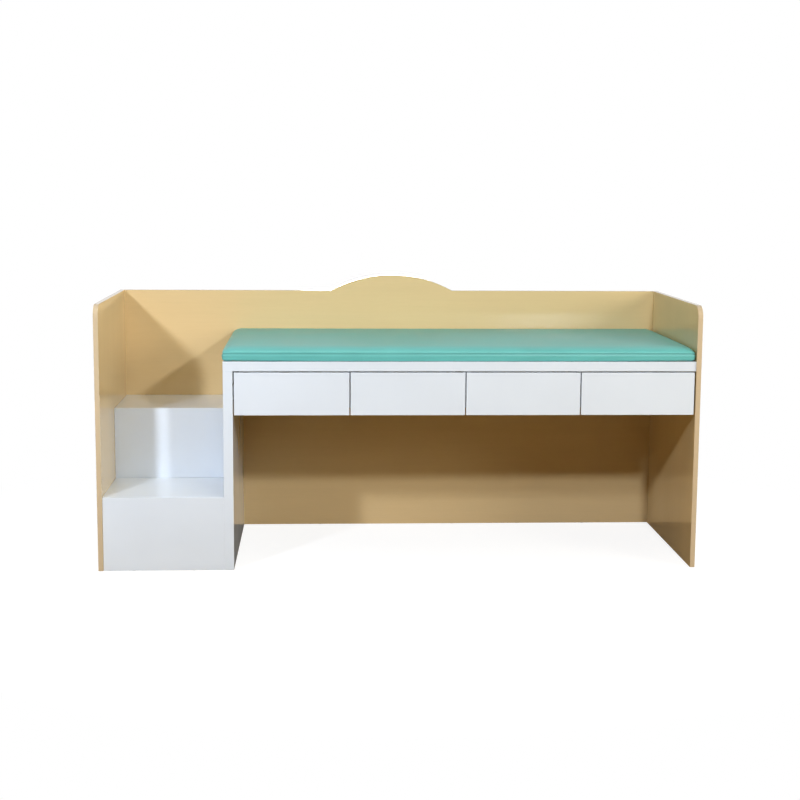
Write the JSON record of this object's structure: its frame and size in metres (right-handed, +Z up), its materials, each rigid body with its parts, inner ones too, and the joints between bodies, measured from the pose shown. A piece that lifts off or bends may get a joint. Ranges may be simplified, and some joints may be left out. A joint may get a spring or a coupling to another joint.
{
  "type": "pediatric examination table",
  "caption": "Panel-built children's examination couch: padded bed board over a row of handle-less drawers and an open kneehole, steps at one end, side panels and an arched back.",
  "frame": {"origin": "on the floor, under the middle of the footprint", "axes": "+X to the right of a person who faces the drawers, +Y to the back, +Z up"},
  "size_m": [2, 0.7, 0.944],
  "materials": {
    "maple_board": "gloss",
    "maple_band": "satin",
    "white_board": "gloss",
    "drawer_board": "satin",
    "hardboard": "satin",
    "pad_vinyl": "satin",
    "pad_foam": "matte",
    "plywood": "matte",
    "slide_steel": "satin",
    "fastener_steel": "satin",
    "beech_dowel": "matte",
    "glide_plastic": "matte"
  },
  "bodies": {
    "frame": {"left_side_panel": "maple_board", "right_side_panel": "maple_board", "back_panel": "maple_board", "left_edge_band": "maple_band", "right_edge_band": "maple_band", "back_edge_band": "maple_band", "divider_panel": "white_board", "bed_board": "white_board", "drawer_partition_1": "white_board", "drawer_partition_2": "white_board", "drawer_partition_3": "white_board", "lower_riser": "white_board", "lower_tread": "white_board", "upper_riser": "white_board", "upper_tread": "white_board", "board_dowels": "beech_dowel", "cam_bolts": "fastener_steel", "cam_discs": "fastener_steel", "back_screws": "fastener_steel", "floor_glides": "glide_plastic", "slide_outer_members": "slide_steel", "slide_screws": "fastener_steel"},
    "drawer_1": {"drawer_1_front": "white_board", "drawer_1_left_side": "drawer_board", "drawer_1_right_side": "drawer_board", "drawer_1_back": "drawer_board", "drawer_1_bottom": "hardboard", "drawer_1_dowels": "beech_dowel", "drawer_1_slide_members": "slide_steel"},
    "slide_1": {"slide_1_middle_members": "slide_steel"},
    "drawer_2": {"drawer_2_front": "white_board", "drawer_2_left_side": "drawer_board", "drawer_2_right_side": "drawer_board", "drawer_2_back": "drawer_board", "drawer_2_bottom": "hardboard", "drawer_2_dowels": "beech_dowel", "drawer_2_slide_members": "slide_steel"},
    "slide_2": {"slide_2_middle_members": "slide_steel"},
    "drawer_3": {"drawer_3_front": "white_board", "drawer_3_left_side": "drawer_board", "drawer_3_right_side": "drawer_board", "drawer_3_back": "drawer_board", "drawer_3_bottom": "hardboard", "drawer_3_dowels": "beech_dowel", "drawer_3_slide_members": "slide_steel"},
    "slide_3": {"slide_3_middle_members": "slide_steel"},
    "drawer_4": {"drawer_4_front": "white_board", "drawer_4_left_side": "drawer_board", "drawer_4_right_side": "drawer_board", "drawer_4_back": "drawer_board", "drawer_4_bottom": "hardboard", "drawer_4_dowels": "beech_dowel", "drawer_4_slide_members": "slide_steel"},
    "slide_4": {"slide_4_middle_members": "slide_steel"},
    "pad": {"pad_cover": "pad_vinyl", "pad_foam": "pad_foam", "pad_base_board": "plywood"}
  },
  "joints": [
    {"name": "drawer_1_slide", "type": "slide", "parent": "frame", "child": "drawer_1", "axis": [0, -1, 0], "range_m": [0, 0.5]},
    {"name": "slide_1_follow", "type": "slide", "parent": "frame", "child": "slide_1", "axis": [0, -1, 0], "range_m": [0, 0.25]},
    {"name": "drawer_2_slide", "type": "slide", "parent": "frame", "child": "drawer_2", "axis": [0, -1, 0], "range_m": [0, 0.5]},
    {"name": "slide_2_follow", "type": "slide", "parent": "frame", "child": "slide_2", "axis": [0, -1, 0], "range_m": [0, 0.25]},
    {"name": "drawer_3_slide", "type": "slide", "parent": "frame", "child": "drawer_3", "axis": [0, -1, 0], "range_m": [0, 0.5]},
    {"name": "slide_3_follow", "type": "slide", "parent": "frame", "child": "slide_3", "axis": [0, -1, 0], "range_m": [0, 0.25]},
    {"name": "drawer_4_slide", "type": "slide", "parent": "frame", "child": "drawer_4", "axis": [0, -1, 0], "range_m": [0, 0.5]},
    {"name": "slide_4_follow", "type": "slide", "parent": "frame", "child": "slide_4", "axis": [0, -1, 0], "range_m": [0, 0.25]},
    {"name": "pad_lift", "type": "slide", "parent": "frame", "child": "pad", "axis": [0, 0, 1], "range_m": [0, 0.3]}
  ],
  "couplings": [
    {"joint": "slide_1_follow", "follows": "drawer_1_slide", "ratio": 0.5},
    {"joint": "slide_2_follow", "follows": "drawer_2_slide", "ratio": 0.5},
    {"joint": "slide_3_follow", "follows": "drawer_3_slide", "ratio": 0.5},
    {"joint": "slide_4_follow", "follows": "drawer_4_slide", "ratio": 0.5}
  ]
}
